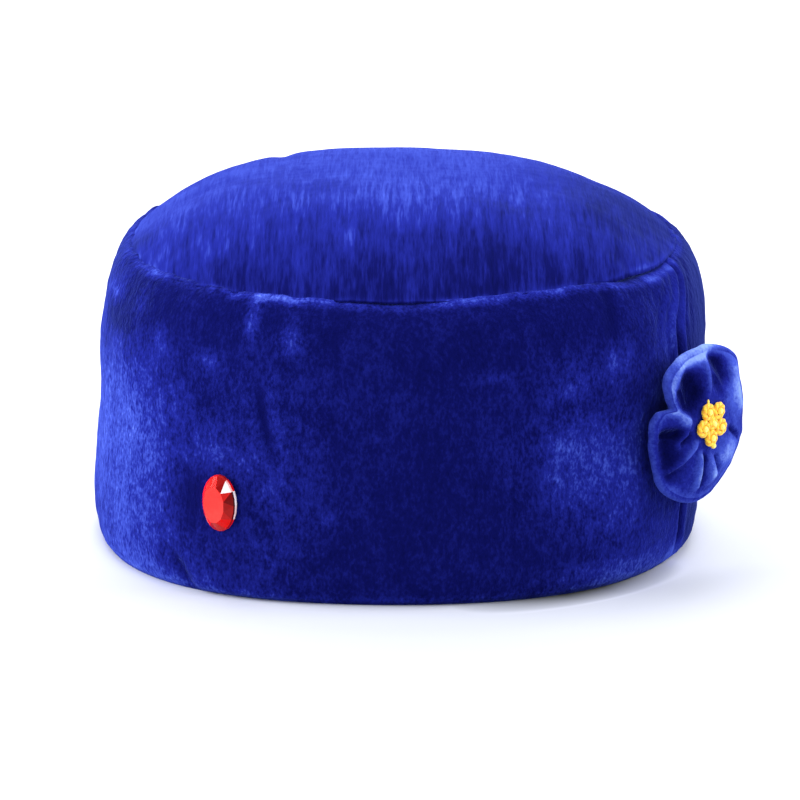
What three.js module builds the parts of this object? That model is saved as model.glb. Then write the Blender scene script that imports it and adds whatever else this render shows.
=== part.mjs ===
// Funeral hat: a round, domed velvet hat that stands on its own rim, with a glued red gem
// low on the front and a gathered velvet rosette on the wearer's left.
//
// Millimetres and degrees, +Z up. The origin is the centre of the rim's plane. The front,
// with the gem, faces -Y, and the wearer's left, with the rosette, faces +X. "Around" is
// the angle round the hat from the front towards the wearer's left, and "up" is the share
// of the height from the rim (0) to the crown seam (1).

import * as THREE from 'three';

// Main sizes of the hat
const RADIUS = 101.6;            // mean, at the fullest ring
const SQUARENESS = 0.022;        // how far the soft plan is flattened on four sides, as a share
const WALL = 6;                  // velvet over padding
const SEAM_HEIGHT = 96.5;        // mean height of the crown seam
const LOW_SIDE = 33;             // around, where the crown seam is lowest and the plan is flattened
const SEAM_TILT = 0.030;         // fall of the crown seam per mm towards the low side
const LEAN = 0.027;              // lean of the upright wall per mm of height
const LEAN_SIDE = LOW_SIDE + 90; // around, where the crown leans to
const BOW = 1.5;                 // sideways bow of the wall at half its height, to the same side
const DOME_RISE = 22.1;          // crown above its seam
const DOME_POWER = 3.3;          // how flat the dome is before it turns down
const DOME_SWELL = 0.067;        // how much more the dome rises on the side that it leans away from
const GAP = 0.3;                 // between pieces that touch
const COLUMNS = 72;              // facets round the hat

// The seams: the cloth dips where it is stitched
const CROWN_GIRTH = 0.895;       // the crown seam, as a share of the fullest ring
const SEAM_DIP = 2;              // depth of the crown seam's groove
const SEAM_WAVES = [             // where the crown seam runs off its plane: degrees wide, mm up
  { around: 66, wide: 15, rise: 2.0 },
  { around: -60, wide: 14, rise: -2.0 },
];
const WAVE_FADE = 3;             // how fast the waves fade from the seam towards the crown's middle
const SIDE_SEAM = [              // course of the upright seam, from the rim to the crown
  { up: 0, around: 96 },
  { up: 0.5, around: 93 },
  { up: 0.8, around: 94 },
  { up: 1, around: 104 },
];
const SIDE_SEAM_DIP = 1.4;
const SIDE_SEAM_SPREAD = 3;      // degrees either side of the stitches

// Outer outline of the side band from the rim to the crown seam
const BAND_OUTLINE = [
  { up: 0.00, girth: 0.955 },
  { up: 0.02, girth: 0.971 },
  { up: 0.05, girth: 0.982 },
  { up: 0.10, girth: 0.991 },
  { up: 0.17, girth: 0.998 },
  { up: 0.25, girth: 1.000 },
  { up: 0.38, girth: 0.998 },
  { up: 0.52, girth: 0.993 },
  { up: 0.65, girth: 0.991 },
  { up: 0.77, girth: 0.987 },
  { up: 0.86, girth: 0.975 },
  { up: 0.93, girth: 0.955 },
  { up: 0.98, girth: 0.925 },
];
const FOOT_WIDTH = 3;            // flat underside of the rolled hem
const LINING_UPS = [0.97, 0.86, 0.65, 0.45, 0.25, 0.10, 0.03]; // heights of the inner face's rings

// Main dents of the side band: their place, how wide (degrees) and tall (share of the height)
// they are, and how deep
const DENTS = [
  { place: 'slack under the crown', around: -30, up: 0.92, wide: 11, tall: 0.08, depth: 1.6 },
  { place: 'shallow hollow over the gem', around: 0, up: 0.82, wide: 9, tall: 0.10, depth: 1.2 },
  { place: 'crease in the hem', around: -9, up: 0.05, wide: 6, tall: 0.05, depth: 1.5 },
  { place: 'slack in front of the rosette', around: 68, up: 0.45, wide: 12, tall: 0.18, depth: 1.2 },
  { place: 'pleat before the upright seam', around: 87, up: 0.88, wide: 6, tall: 0.13, depth: 2.0 },
  { place: 'pull of the rosette stitches', around: 91, up: 0.52, wide: 9, tall: 0.09, depth: 1.4 },
  { place: 'slack at the back', around: 190, up: 0.60, wide: 25, tall: 0.20, depth: 1.5 },
  { place: 'slack on the wearer\'s right', around: 260, up: 0.75, wide: 16, tall: 0.15, depth: 1.4 },
];

// Shares of the reach from the crown's middle to its seam where its outside and inside have rings
const CROWN_REACHES = [0.985, 0.96, 0.92, 0.85, 0.75, 0.62, 0.47, 0.3, 0.14];
const CROWN_INNER_REACHES = [0.25, 0.48, 0.67, 0.82, 0.93];

// Oval gem on the front
const GEM = {
  width: 13,
  height: 18,
  thickness: 4.6,
  back: 0.96,       // share of the girdle's size
  girdle: 1.1,      // height of the widest outline
  shoulder: 0.86,   // share of the girdle's size where the crown facets meet
  shoulderUp: 3.3,
  table: 0.62,      // share of the girdle's size
  facets: 16,
  up: 31,           // of its middle, over the rim
  aside: 1.4,       // of its middle, from the band's front towards the wearer's left
};

// Rosette: its seat on the band, the way that it faces, and the ruffle's edge
const ROSETTE = {
  centre: [118.5, 1.4, 50.0],
  faces: 82,        // around
  cloth: 4.5,       // doubled velvet with its pile
  neck: 9,          // radius of the gathers at the band
  neckTop: -9,      // height of the neck's top, from the cord blossom's seat
  shoulder: 14,     // radius where the ruffle spreads out
  shoulderTop: -6.5,
  seat: 10,         // radius of the cord blossom's flat seat
  columns: 48,
};
const NECK_GAP = 1.15;           // the facets of the neck and the band bulge towards each other
const SEAT_SEARCH = 30;          // how far into the hat the neck's seat is looked for
const SEAT_HALVINGS = 24;

// Edge of the ruffle, by the angle from the wearer's rear, anticlockwise as seen from outside
const RUFFLE = [
  { angle: 0, reach: 21.6, lift: -5.0 },
  { angle: 18, reach: 22.8, lift: -4.5 },
  { angle: 50, reach: 25.2, lift: -5.0 },
  { angle: 76, reach: 25.2, lift: -5.0 },
  { angle: 108, reach: 24.2, lift: -4.5 },
  { angle: 130, reach: 24.7, lift: -3.5 },
  { angle: 143, reach: 23.6, lift: -3.5 },
  { angle: 157, reach: 17.5, lift: -5.5 },
  { angle: 171, reach: 24.7, lift: -4.0 },
  { angle: 205, reach: 25.6, lift: -4.5 },
  { angle: 226, reach: 27.7, lift: -4.5 },
  { angle: 262, reach: 27.0, lift: -4.5 },
  { angle: 303, reach: 24.0, lift: -5.0 },
  { angle: 325, reach: 22.3, lift: -5.0 },
  { angle: 336, reach: 21.4, lift: -5.2 },
];
// Gathers round the seat: their middle and their spread are shares of the reach
const GATHERS = { folds: 9, depth: 1.0, at: 0.55, spread: 0.22 };
const LIFT_POWER = 1.3;          // how late the ruffle bends up or back on its way to the edge

// Section of the ruffle: shares of the reach and of the cloth's thickness, from the back to the face
const RUFFLE_SECTION = [
  { share: 0.78, back: 1 },
  { share: 0.93, back: 1 },
  { share: 0.985, back: 0.8 },
  { share: 1, back: 0.5 },
  { share: 0.985, back: 0.2 },
  { share: 0.93, back: 0 },
  { share: 0.78, back: 0 },
  { share: 0.62, back: 0 },
  { share: 0.48, back: 0 },
];

// Cord blossom, sewn on a little off the middle of the rosette
const BLOSSOM = {
  x: -2,
  y: 1,
  petals: 5,
  firstAngle: -96,
  ring: 4.65,       // from its middle to the middles of its petals
  petal: 2.55,
  centre: 1.75,
  height: 2.5,
  columns: 14,
};

// Outline of a coil of cord, as shares of its radius and height, from its back to its knot
const COIL_OUTLINE = [
  { reach: 0.88, height: 0 },
  { reach: 1.00, height: 0.35 },
  { reach: 0.94, height: 0.68 },
  { reach: 0.74, height: 0.86 },
  { reach: 0.52, height: 0.66 },
  { reach: 0.36, height: 0.90 },
];

const rad = THREE.MathUtils.degToRad;

function bearing(around) {
  return new THREE.Vector2(Math.sin(rad(around)), -Math.cos(rad(around)));
}

function turned(columns, make) {
  return Array.from({ length: columns }, (_, i) => make(i * 360 / columns));
}

// Signed difference of two angles, from -180 to 180
function apart(a, b) {
  return ((a - b + 540) % 360) - 180;
}

function bell(offset, spread) {
  return Math.exp(-((offset / spread) ** 2));
}

// Height of the crown seam over a point of the plan, whose waves fade towards the middle
function seamHeight(plan) {
  const around = THREE.MathUtils.radToDeg(Math.atan2(plan.x, -plan.y));
  const waves = SEAM_WAVES.reduce((sum, w) => sum + w.rise * bell(apart(around, w.around), w.wide), 0);
  const out = Math.min(1, plan.length() / RADIUS);
  return SEAM_HEIGHT - SEAM_TILT * bearing(LOW_SIDE).dot(plan) + waves * out ** WAVE_FADE;
}

// How far the upright wall has gone sideways at a height
function sideways(z) {
  return LEAN * z + BOW * Math.sin(Math.PI * z / SEAM_HEIGHT);
}

function lean(plan, z) {
  const leant = bearing(LEAN_SIDE).multiplyScalar(sideways(z)).add(plan);
  return new THREE.Vector3(leant.x, leant.y, z);
}

// A column of a table at a height, on straight lines between its rows
function rowAt(table, up, column) {
  const next = Math.max(1, table.findIndex((row) => row.up >= up));
  const [low, high] = [table[next - 1], table[next]];
  return THREE.MathUtils.mapLinear(up, low.up, high.up, low[column], high[column]);
}

function dip(around, up) {
  const seam = rowAt(SIDE_SEAM, up, 'around');
  const stitched = SIDE_SEAM_DIP * bell(apart(around, seam), SIDE_SEAM_SPREAD);
  return DENTS.reduce(
    (sum, d) => sum + d.depth * bell(apart(around, d.around), d.wide) * bell(up - d.up, d.tall),
    stitched,
  );
}

function planPoint(around, girth) {
  const flattened = 1 - SQUARENESS * Math.cos(rad(4 * (around - LOW_SIDE)));
  return bearing(around).multiplyScalar(RADIUS * girth * flattened);
}

// A point of the side band. Its inset goes inwards from the girth, and its drop goes down from
// the seam's plane.
function bandPoint(around, up, girth, inset = 0, drop = 0) {
  const plan = planPoint(around, girth - (dip(around, up) + inset) / RADIUS);
  return lean(plan, up * (seamHeight(plan) - drop));
}

// Closed body through rings of points. A ring of one point is a pole, and without poles the
// last ring meets the first.
function body(rings) {
  const points = rings.flat();
  const starts = rings.map((_, i) => rings.slice(0, i).reduce((sum, ring) => sum + ring.length, 0));
  const columns = Math.max(...rings.map((ring) => ring.length));
  const open = rings[0].length === 1;
  const edge = (ring, j, k) => (rings[ring].length === 1 ? [0, 0] : [j, k]).map((v) => starts[ring] + v);
  const index = [];
  for (let i = 0; i < rings.length - (open ? 1 : 0); i += 1) {
    const next = (i + 1) % rings.length;
    for (let j = 0; j < columns; j += 1) {
      const k = (j + 1) % columns;
      const [a, b] = edge(i, j, k);
      const [d, c] = edge(next, j, k);
      if (a !== b) index.push(a, b, c);
      if (c !== d) index.push(a, c, d);
    }
  }
  const geometry = new THREE.BufferGeometry().setFromPoints(points);
  geometry.setIndex(index);
  geometry.computeVertexNormals();
  return geometry;
}

function piece(name, geometry, material) {
  const mesh = new THREE.Mesh(geometry, material);
  mesh.name = name;
  return mesh;
}

function velvet() {
  return new THREE.MeshStandardMaterial({ color: 0x1c1f96, roughness: 0.85, metalness: 0 });
}

// The side band: out of the hem's foot, up the outside, over the top edge and down the inside
function sideBand() {
  const topGirth = CROWN_GIRTH - SEAM_DIP / RADIUS;
  const innerTopGirth = CROWN_GIRTH - WALL / RADIUS;
  const footGirth = BAND_OUTLINE[0].girth;
  const rings = BAND_OUTLINE.map((row) => turned(COLUMNS, (a) => bandPoint(a, row.up, row.girth)));
  rings.push(turned(COLUMNS, (a) => bandPoint(a, 1, topGirth, 0, GAP / 2)));
  rings.push(turned(COLUMNS, (a) => bandPoint(a, 1, innerTopGirth, 0, GAP / 2)));
  for (const up of LINING_UPS) {
    rings.push(turned(COLUMNS, (a) => bandPoint(a, up, rowAt(BAND_OUTLINE, up, 'girth'), WALL)));
  }
  rings.push(turned(COLUMNS, (a) => bandPoint(a, 0, footGirth, FOOT_WIDTH)));
  return piece('side_band', body(rings), velvet());
}

// A point of the crown at a reach from its middle (0) to its seam (1), so high over the seam's plane
function crownPoint(around, reach, height) {
  const plan = planPoint(around, reach * (CROWN_GIRTH - dip(around, 1) / RADIUS));
  const swell = 1 - DOME_SWELL * bearing(LEAN_SIDE).dot(plan) / RADIUS;
  return lean(plan, seamHeight(plan) + height * swell);
}

function dome(reach, rise) {
  return rise * (1 - reach ** DOME_POWER);
}

// The crown panel: the inside of the dome, its edge on the band's top, and the outside of the dome
function crownTop() {
  const radius = RADIUS * CROWN_GIRTH;
  const innerReach = 1 - WALL / radius;
  const edgeReach = 1 - SEAM_DIP / radius;
  const rings = [[crownPoint(0, 0, dome(0, DOME_RISE - WALL))]];
  for (const step of CROWN_INNER_REACHES) {
    rings.push(turned(COLUMNS, (a) => crownPoint(a, step * innerReach, dome(step, DOME_RISE - WALL))));
  }
  rings.push(turned(COLUMNS, (a) => crownPoint(a, innerReach, GAP / 2)));
  rings.push(turned(COLUMNS, (a) => crownPoint(a, edgeReach, GAP / 2)));
  for (const reach of CROWN_REACHES) {
    rings.push(turned(COLUMNS, (a) => crownPoint(a, reach, dome(reach, DOME_RISE))));
  }
  rings.push([crownPoint(0, 0, DOME_RISE)]);
  return piece('crown_top', body(rings), velvet());
}

// The gem, with its flat back on the plane z = 0 and its table facing +Z
function gem() {
  const oval = (share, height, turn = 0) => turned(GEM.facets, (angle) => {
    const x = share * GEM.width / 2 * Math.cos(rad(angle + turn));
    const y = share * GEM.height / 2 * Math.sin(rad(angle + turn));
    return new THREE.Vector3(x, y, height);
  });
  const half = 180 / GEM.facets;
  const rings = [
    [new THREE.Vector3(0, 0, 0)],
    oval(GEM.back, 0),
    oval(1, GEM.girdle),
    oval(GEM.shoulder, GEM.shoulderUp, half),
    oval(GEM.table, GEM.thickness),
    [new THREE.Vector3(0, 0, GEM.thickness)],
  ];
  const material = new THREE.MeshStandardMaterial({ color: 0xd82418, roughness: 0.08, metalness: 0 });
  const mesh = piece('gem', body(rings), material);
  const bottomToTop = [-0.5, 0, 0.5].map((share) => {
    const up = (GEM.up + share * GEM.height) / seamHeight(planPoint(0, 1));
    return bandPoint(0, up, rowAt(BAND_OUTLINE, up, 'girth'));
  });
  mesh.rotation.x = Math.PI / 2;
  mesh.position.x = bottomToTop[1].x + GEM.aside;
  mesh.position.y = Math.min(...bottomToTop.map((p) => p.y)) - GAP;
  mesh.position.z = GEM.up;
  return mesh;
}

// The rosette's own axes: X to the wearer's rear, Y up and Z out of the hat
function rosetteGroup() {
  const group = new THREE.Group();
  const out = bearing(ROSETTE.faces);
  const outward = new THREE.Vector3(out.x, out.y, 0);
  const upward = new THREE.Vector3(0, 0, 1);
  const rearward = new THREE.Vector3().crossVectors(upward, outward);
  group.quaternion.setFromRotationMatrix(new THREE.Matrix4().makeBasis(rearward, upward, outward));
  group.position.fromArray(ROSETTE.centre);
  group.updateMatrixWorld(true);
  return group;
}

// Whether a point is clear of the side band by at least the neck's gap
function clearOfBand(p) {
  const plan = new THREE.Vector2(p.x, p.y).sub(bearing(LEAN_SIDE).multiplyScalar(sideways(p.z)));
  const around = THREE.MathUtils.radToDeg(Math.atan2(plan.x, -plan.y));
  const up = p.z / seamHeight(plan);
  const girth = rowAt(BAND_OUTLINE, up, 'girth');
  return plan.length() > planPoint(around, girth).length() - dip(around, up) + NECK_GAP;
}

// Where a line into the hat from (x, y) of the rosette's plane meets its seat on the band, found
// by halving the stretch between a clear point and one inside
function seatPoint(group, x, y) {
  let [clear, inside] = [0, -SEAT_SEARCH];
  for (let i = 0; i < SEAT_HALVINGS; i += 1) {
    const middle = (clear + inside) / 2;
    if (clearOfBand(group.localToWorld(new THREE.Vector3(x, y, middle)))) clear = middle;
    else inside = middle;
  }
  return new THREE.Vector3(x, y, clear);
}

// A value of the ruffle's edge at an angle, eased from each row to the next
function ruffle(angle, column) {
  const last = RUFFLE.length - 1;
  const i = RUFFLE.findLastIndex((row) => row.angle <= angle);
  const [from, to] = [RUFFLE[i], i === last ? RUFFLE[0] : RUFFLE[i + 1]];
  const share = (angle - from.angle) / ((to.angle - from.angle + 360) % 360);
  return THREE.MathUtils.lerp(from[column], to[column], THREE.MathUtils.smoothstep(share, 0, 1));
}

// The ruffle's face at an angle and a share of its reach, with the gathers round the middle
function ruffleHeight(angle, share) {
  const { folds, depth, at, spread } = GATHERS;
  const gathers = depth * Math.sin(rad(angle * folds)) * bell(share - at, spread);
  const seatShare = ROSETTE.seat / ruffle(angle, 'reach');
  const free = Math.max(0, (share - seatShare) / (1 - seatShare));
  return ruffle(angle, 'lift') * free ** LIFT_POWER + gathers * Math.min(1, free * 4);
}

function rufflePoint(angle, share, back) {
  const reach = share * ruffle(angle, 'reach');
  return new THREE.Vector3(
    reach * Math.cos(rad(angle)),
    reach * Math.sin(rad(angle)),
    ruffleHeight(angle, Math.min(share, 1)) - back,
  );
}

// The rosette: its gathered neck on the band, the ruffle's back, its rolled edge and its face
function rosette(group) {
  const { cloth, neck, neckTop, shoulder, shoulderTop, columns } = ROSETTE;
  const round = (radius, place) => turned(columns, (angle) => {
    const [x, y] = [radius * Math.cos(rad(angle)), radius * Math.sin(rad(angle))];
    return place(x, y);
  });
  const rings = [
    [seatPoint(group, 0, 0)],
    round(neck / 2, (x, y) => seatPoint(group, x, y)),
    round(neck, (x, y) => seatPoint(group, x, y)),
    round(neck + 1, (x, y) => new THREE.Vector3(x, y, neckTop)),
    round(shoulder, (x, y) => new THREE.Vector3(x, y, shoulderTop)),
  ];
  for (const { share, back } of RUFFLE_SECTION) {
    rings.push(turned(columns, (angle) => rufflePoint(angle, share, back * cloth)));
  }
  rings.push(round(ROSETTE.seat * 0.9, (x, y) => new THREE.Vector3(x, y, 0)));
  rings.push([new THREE.Vector3(0, 0, 0)]);
  return piece('rosette', body(rings), velvet());
}

// One coil of twisted cord: a ring of cord round a raised knot, on the rosette's seat
function coil(name, radius, angle, ring) {
  const at = (x, y, z) => new THREE.Vector3(x, y, z);
  const rings = [[at(0, 0, 0)]];
  for (const { reach, height } of COIL_OUTLINE) {
    rings.push(turned(BLOSSOM.columns, (a) => at(
      reach * radius * Math.cos(rad(a)),
      reach * radius * Math.sin(rad(a)),
      height * BLOSSOM.height,
    )));
  }
  rings.push([at(0, 0, BLOSSOM.height)]);
  const material = new THREE.MeshStandardMaterial({ color: 0xf2bd1c, roughness: 0.55, metalness: 0 });
  const mesh = piece(name, body(rings), material);
  mesh.position.set(
    BLOSSOM.x + ring * Math.cos(rad(angle)),
    BLOSSOM.y + ring * Math.sin(rad(angle)),
    GAP,
  );
  return mesh;
}

const hat = new THREE.Group();
hat.add(sideBand(), crownTop(), gem());

const side = rosetteGroup();
side.add(rosette(side));
for (let i = 0; i < BLOSSOM.petals; i += 1) {
  const angle = BLOSSOM.firstAngle + i * 360 / BLOSSOM.petals;
  side.add(coil(`cord_petal_${i + 1}`, BLOSSOM.petal, angle, BLOSSOM.ring));
}
side.add(coil('cord_center', BLOSSOM.centre, 0, 0));
hat.add(side);

export default hat;
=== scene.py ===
"""The looks of a round blue velvet funeral hat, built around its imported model.

Sizes are in millimetres and degrees until a mesh is made, which is in metres. "Around" is the
angle round the hat from the front (-Y) towards the wearer's left (+X), and "up" is the share of
the height from the rim (0) to the crown seam (1).
"""

import math

import bpy
import numpy as np
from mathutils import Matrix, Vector


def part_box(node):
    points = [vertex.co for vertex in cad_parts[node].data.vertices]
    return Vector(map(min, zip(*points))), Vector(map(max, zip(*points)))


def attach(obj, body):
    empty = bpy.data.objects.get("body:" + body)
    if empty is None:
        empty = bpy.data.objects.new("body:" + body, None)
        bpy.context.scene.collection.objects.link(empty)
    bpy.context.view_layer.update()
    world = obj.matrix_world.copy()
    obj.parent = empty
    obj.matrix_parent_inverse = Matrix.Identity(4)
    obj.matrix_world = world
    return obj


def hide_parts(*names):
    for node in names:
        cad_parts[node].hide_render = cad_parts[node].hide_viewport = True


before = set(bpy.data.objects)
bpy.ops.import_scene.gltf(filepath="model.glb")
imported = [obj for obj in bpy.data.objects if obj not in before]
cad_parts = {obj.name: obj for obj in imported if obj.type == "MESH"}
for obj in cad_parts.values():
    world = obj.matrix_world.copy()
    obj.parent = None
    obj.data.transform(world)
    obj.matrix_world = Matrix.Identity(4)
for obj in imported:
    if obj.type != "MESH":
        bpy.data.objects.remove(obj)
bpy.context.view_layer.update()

MM = 0.001
UPWARD = np.array([0.0, 0.0, 1.0])

# Main sizes of the hat, as in the part's source
RADIUS = 101.6
SQUARENESS = 0.022
WALL = 6.0
SEAM_HEIGHT = 96.5
LOW_SIDE = 33.0
SEAM_TILT = 0.030
LEAN = 0.027
LEAN_SIDE = LOW_SIDE + 90
BOW = 1.5
DOME_RISE = 22.1
DOME_POWER = 3.3
DOME_SWELL = 0.067
GAP = 0.3
CROWN_GIRTH = 0.895
FOOT_WIDTH = 3.0
FLATTENED_SIDES = 4

# Camera, at the photograph's viewing angle
VIEW_AROUND = 33.0
VIEW_ABOVE = 13.9
CAMERA_DISTANCE = 1400.0
CAMERA_AIM_HEIGHT = 41.83
CAMERA_AIM_RIGHT = 2.02
PIXELS_PER_MM = 3.047
IMAGE_PIXELS = 800
SENSOR = 36.0
VIEW_END = 20000.0

# Outer outline of the side band from the rim to the crown seam
BAND_OUTLINE = [
    # up, girth
    (0.00, 0.955),
    (0.02, 0.971),
    (0.05, 0.982),
    (0.10, 0.991),
    (0.17, 0.998),
    (0.25, 1.000),
    (0.38, 0.998),
    (0.52, 0.993),
    (0.65, 0.991),
    (0.77, 0.987),
    (0.86, 0.975),
    (0.93, 0.955),
    (0.98, 0.925),
    (1.00, 0.886),
]

# Course of the upright seam, from the rim to the crown
SIDE_SEAM = [
    # up, around
    (0.0, 96),
    (0.5, 93),
    (0.8, 92),
    (1.0, 101),
]

# Where the crown seam runs off its plane, and by what power of the distance from the axis its waves
# fade inwards
SEAM_WAVES = [
    # around, wide, rise
    (66, 15, 2.0),
    (-60, 14, -2.0),
]
WAVE_FADE = 3

# Dents, creases and, where the depth is negative, swellings of the side band. Turn is the slant
# of a long one, clockwise from upright as seen from outside, and long and wide are its half
# length and half width.
DENTS = [
    # around, up, turn, long, wide, depth
    (-30, 0.92, 90, 20, 8, 1.6),
    (-36, 0.80, 90, 14, 5, 1.0),
    (0, 0.84, 0, 12, 16, 1.2),
    (12, 0.86, 20, 9, 4, -0.5),
    (5, 0.92, 0, 11, 3, -0.5),
    (8, 0.60, -14, 10, 1.7, 0.9),
    (11, 0.60, -14, 11, 2.6, -0.7),
    (21, 0.70, 0, 22, 1.6, 0.4),
    (-7, 0.05, -35, 9, 2.6, 1.6),
    (-4, 0.07, -35, 9, 3.5, -0.6),
    (73, 0.90, 8, 14, 2.2, 0.8),
    (76, 0.86, 8, 14, 4, -0.5),
    (68, 0.45, 0, 18, 20, 1.2),
    (87, 0.88, -10, 16, 8, 1.6),
    (92, 0.52, 0, 9, 15, 1.4),
    (-57, 0.86, 90, 24, 12, 1.5),
    (6, 0.03, 90, 22, 5, -1.2),
    (106, 0.05, 90, 22, 8, -0.9),
    (123, 0.82, 90, 24, 20, -0.9),
    (190, 0.60, 0, 20, 40, 1.5),
    (260, 0.75, 0, 15, 26, 1.4),
]

# Groove of the upright seam and the swellings on its two sides, in mm beside the seam, and the
# share of the height from which to which they come in
SIDE_GROOVE = [
    # beside, wide, depth
    (0.0, 1.3, 1.9),
    (3.6, 2.4, -0.7),
    (-3.6, 2.4, -0.5),
]
GROOVE_START = (-0.02, 0.10)

# Pleats that the upright seam pulls in near the crown, in mm beside the seam, and how much of the
# height they take to come in
SIDE_PLEATS = [
    # beside, wide, depth, from up
    (-6.5, 1.8, 0.8, 0.58),
    (-13.0, 2.2, 0.6, 0.66),
    (6.5, 1.8, 0.7, 0.60),
    (12.5, 2.2, 0.5, 0.70),
]
PLEAT_START = 0.2

# Noises, each by its height, size and seed: the uneven rise of the crown seam, lumps of velvet
# over padding, and small gathers along the seam
SEAM_WAVER = [(0.5, 11, 31)]
BROAD_LUMPS = [(0.75, 46, 1), (0.32, 17, 2)]
FINE_LUMPS = [(0.16, 6.5, 3), (0.12, 2.6, 4)]
GATHERS = [(0.65, 5.5, 0), (0.35, 2.4, 1)]

# Seeds of the gathers of the band, the crown and the seam's lip
BAND_GATHERS = 11
CROWN_GATHERS = 13
LIP_GATHERS = 17

# How far inwards or downwards from the crown seam the gathers fade, in millimetres
GATHER_FADE = 6

# Numbers that mix a cell and a seed into a value without a pattern
CELL_MIXERS = (73856093, 19349663, 83492791)
SEED_MIXER = 2654435761
LAST_MIXER = 1274126177
SEED_SHIFT = 17.13


def rad(angle):
    return np.radians(angle)


def eased_table(rows, column, values):
    """Column of rows, looked up by the first column and eased between rows without overshoot."""
    x = np.array([row[0] for row in rows], float)
    y = np.array([row[column] for row in rows], float)
    steps = np.diff(x)
    slopes = np.diff(y) / steps
    products = slopes[:-1] * slopes[1:]
    sums = np.where(products > 0, slopes[:-1] + slopes[1:], 1)
    inner = np.where(products > 0, 2 * products / sums, 0)
    tangents = np.concatenate([[slopes[0]], inner, [slopes[-1]]])
    i = np.clip(np.searchsorted(x, values, side="right") - 1, 0, len(x) - 2)
    t = np.clip((values - x[i]) / steps[i], 0, 1)
    return (
        y[i] * (1 + 2 * t) * (1 - t) ** 2
        + tangents[i] * steps[i] * t * (1 - t) ** 2
        + y[i + 1] * t**2 * (3 - 2 * t)
        + tangents[i + 1] * steps[i] * t**2 * (t - 1)
    )


def eased_round(rows, column, angles):
    """Column of rows whose first column is an angle round a full turn."""
    laps = [(row[0] + 360 * lap,) + tuple(row[1:]) for lap in (-1, 0, 1) for row in rows]
    return eased_table(laps, column, np.asarray(angles) % 360)


def bell(offset, spread):
    """A rounded peak, one high at no offset."""
    return np.exp(-((offset / spread) ** 2))


def smooth_step(value, low, high):
    t = np.clip((value - low) / (high - low), 0, 1)
    return t * t * (3 - 2 * t)


def patchwork(rows, across, along):
    """Sum of rounded patches. A row has a patch's middle, half width, half height and strength."""
    return sum(high * bell(across - x, wide) * bell(along - y, tall) for x, y, wide, tall, high in rows)


def apart(a, b):
    """Turn from angle b to angle a, from -180 to 180."""
    return (a - b + 540) % 360 - 180


def value_noise(points, size, seed):
    """Smooth noise from -1 to 1 with features of about that size, at points in millimetres."""
    scaled = points / size + seed * SEED_SHIFT
    cell = np.floor(scaled).astype(np.int64)
    part = scaled - cell
    part = part**3 * (part * (part * 6 - 15) + 10)
    total = 0
    for corner in np.ndindex(2, 2, 2):
        at = cell + np.array(corner)
        mixed = np.bitwise_xor.reduce(at * np.array(CELL_MIXERS), axis=-1) ^ (seed * SEED_MIXER)
        mixed = (mixed ^ (mixed >> 13)) * LAST_MIXER
        value = ((mixed ^ (mixed >> 16)) & 0xFFFF) / 32767.5 - 1
        weight = np.prod(np.where(np.array(corner) == 1, part, 1 - part), axis=-1)
        total = total + value * weight
    return total


def layered_noise(points, layers, seed=0):
    """Sum of noises, each of which has a height, a size and a seed of its own."""
    return sum(height * value_noise(points, size, seed + own) for height, size, own in layers)


def bearing(around):
    return np.stack([np.sin(rad(around)), -np.cos(rad(around))], -1)


def around_of(plan):
    return np.degrees(np.arctan2(plan[..., 0], -plan[..., 1]))


def plan_point(around, girth):
    """Point of the plan, whose outline is a little flattened on four sides."""
    flattened = 1 - SQUARENESS * np.cos(rad(FLATTENED_SIDES * (around - LOW_SIDE)))
    return bearing(around) * (RADIUS * girth * flattened)[..., None]


def seam_height(plan):
    around = around_of(plan)
    waves = sum(rise * bell(apart(around, at), wide) for at, wide, rise in SEAM_WAVES)
    out = np.minimum(1, np.hypot(plan[..., 0], plan[..., 1]) / RADIUS)
    spot = np.concatenate([bearing(around) * RADIUS, 0 * around[..., None]], -1)
    waves = waves + layered_noise(spot, SEAM_WAVER)
    return SEAM_HEIGHT - SEAM_TILT * (plan @ bearing(LOW_SIDE)) + waves * out**WAVE_FADE


def lean(plan, z):
    """Points at their heights over the plan, moved to the side as the hat leans."""
    shift = LEAN * z + BOW * np.sin(math.pi * z / SEAM_HEIGHT)
    moved = plan + bearing(LEAN_SIDE) * shift[..., None]
    return np.concatenate([moved, z[..., None]], -1)


def beside_seam(around, up):
    """How far a place of the band lies to the rear of the upright seam."""
    return rad(apart(around, eased_table(SIDE_SEAM, 1, up))) * RADIUS


def slack(around, up, sharp=False):
    """How far the band lies within its outline for its dents and creases, or how sharp they are."""
    total = 0
    for d_around, d_up, turn, long, wide, depth in DENTS:
        across = rad(apart(around, d_around)) * RADIUS
        along = (up - d_up) * SEAM_HEIGHT
        c, s = math.cos(rad(turn)), math.sin(rad(turn))
        near = bell(along * c + across * s, long) * bell(across * c - along * s, wide)
        total = total + near * (depth / wide if sharp else depth)
    return total


def pull(around, up):
    """How far the upright seam and its pleats draw the band within its outline."""
    beside = beside_seam(around, up)
    total = sum(depth * bell(beside - at, wide) for at, wide, depth in SIDE_GROOVE)
    for at, wide, depth, from_up in SIDE_PLEATS:
        total = total + depth * bell(beside - at, wide) * smooth_step(up, from_up, from_up + PLEAT_START)
    return total * smooth_step(up, *GROOVE_START)


def spaced(runs):
    """Evenly spaced values from the first number of each run towards its second, which ends the last."""
    values = [np.linspace(first, last, count, endpoint=False) for first, last, count in runs]
    return np.append(np.concatenate(values), runs[-1][1])


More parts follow.
